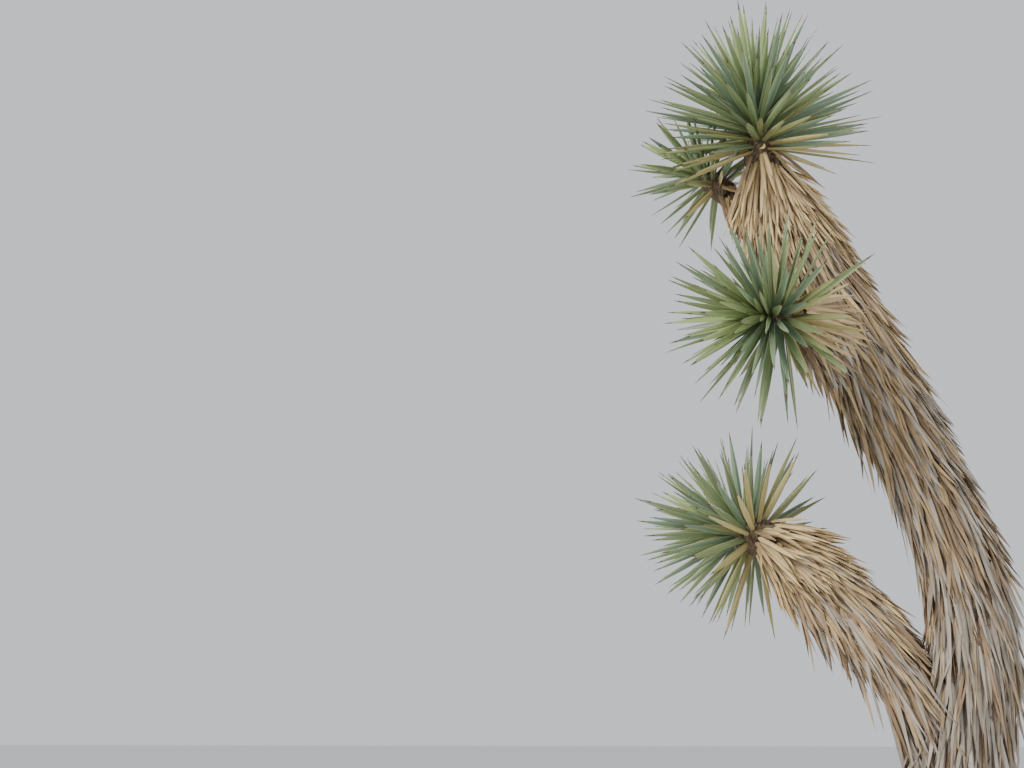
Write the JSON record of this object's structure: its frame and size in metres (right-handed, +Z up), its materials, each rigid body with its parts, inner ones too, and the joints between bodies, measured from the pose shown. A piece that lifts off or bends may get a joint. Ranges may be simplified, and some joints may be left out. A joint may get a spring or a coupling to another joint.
{
  "type": "joshua tree",
  "caption": "Young Joshua tree: a rooted trunk that forks into a leaning leader and a bough, thatched with dead leaves, with round heads of stiff dagger leaves.",
  "frame": {"origin": "centre of the flat cut under the trunk, at ground level", "axes": "+Z up along the tree's height; +X to the right in the picture, the way the trunk leans; +Y away from the picture's viewer"},
  "size_m": [0.9215, 0.89, 3.3351],
  "materials": {
    "bark": "grey-brown corky bark in small rough plates with deep furrows between them, matt",
    "dead_leaf_thatch": "dry dead leaves, straw and tan at the top of a limb and weathered grey lower down, matt and fibrous",
    "live_leaves": "stiff blue-green to yellow-green dagger leaves with a thin pale toothed edge and a brown spine at the tip, slightly waxy"
  },
  "bodies": {
    "root": {"trunk": "bark", "leader": "dead_leaf_thatch", "lower_bough": "dead_leaf_thatch", "middle_arm": "dead_leaf_thatch", "upper_stub": "dead_leaf_thatch", "crown_head": "live_leaves", "lower_head": "live_leaves", "middle_head": "live_leaves", "upper_head": "live_leaves"}
  },
  "joints": []
}
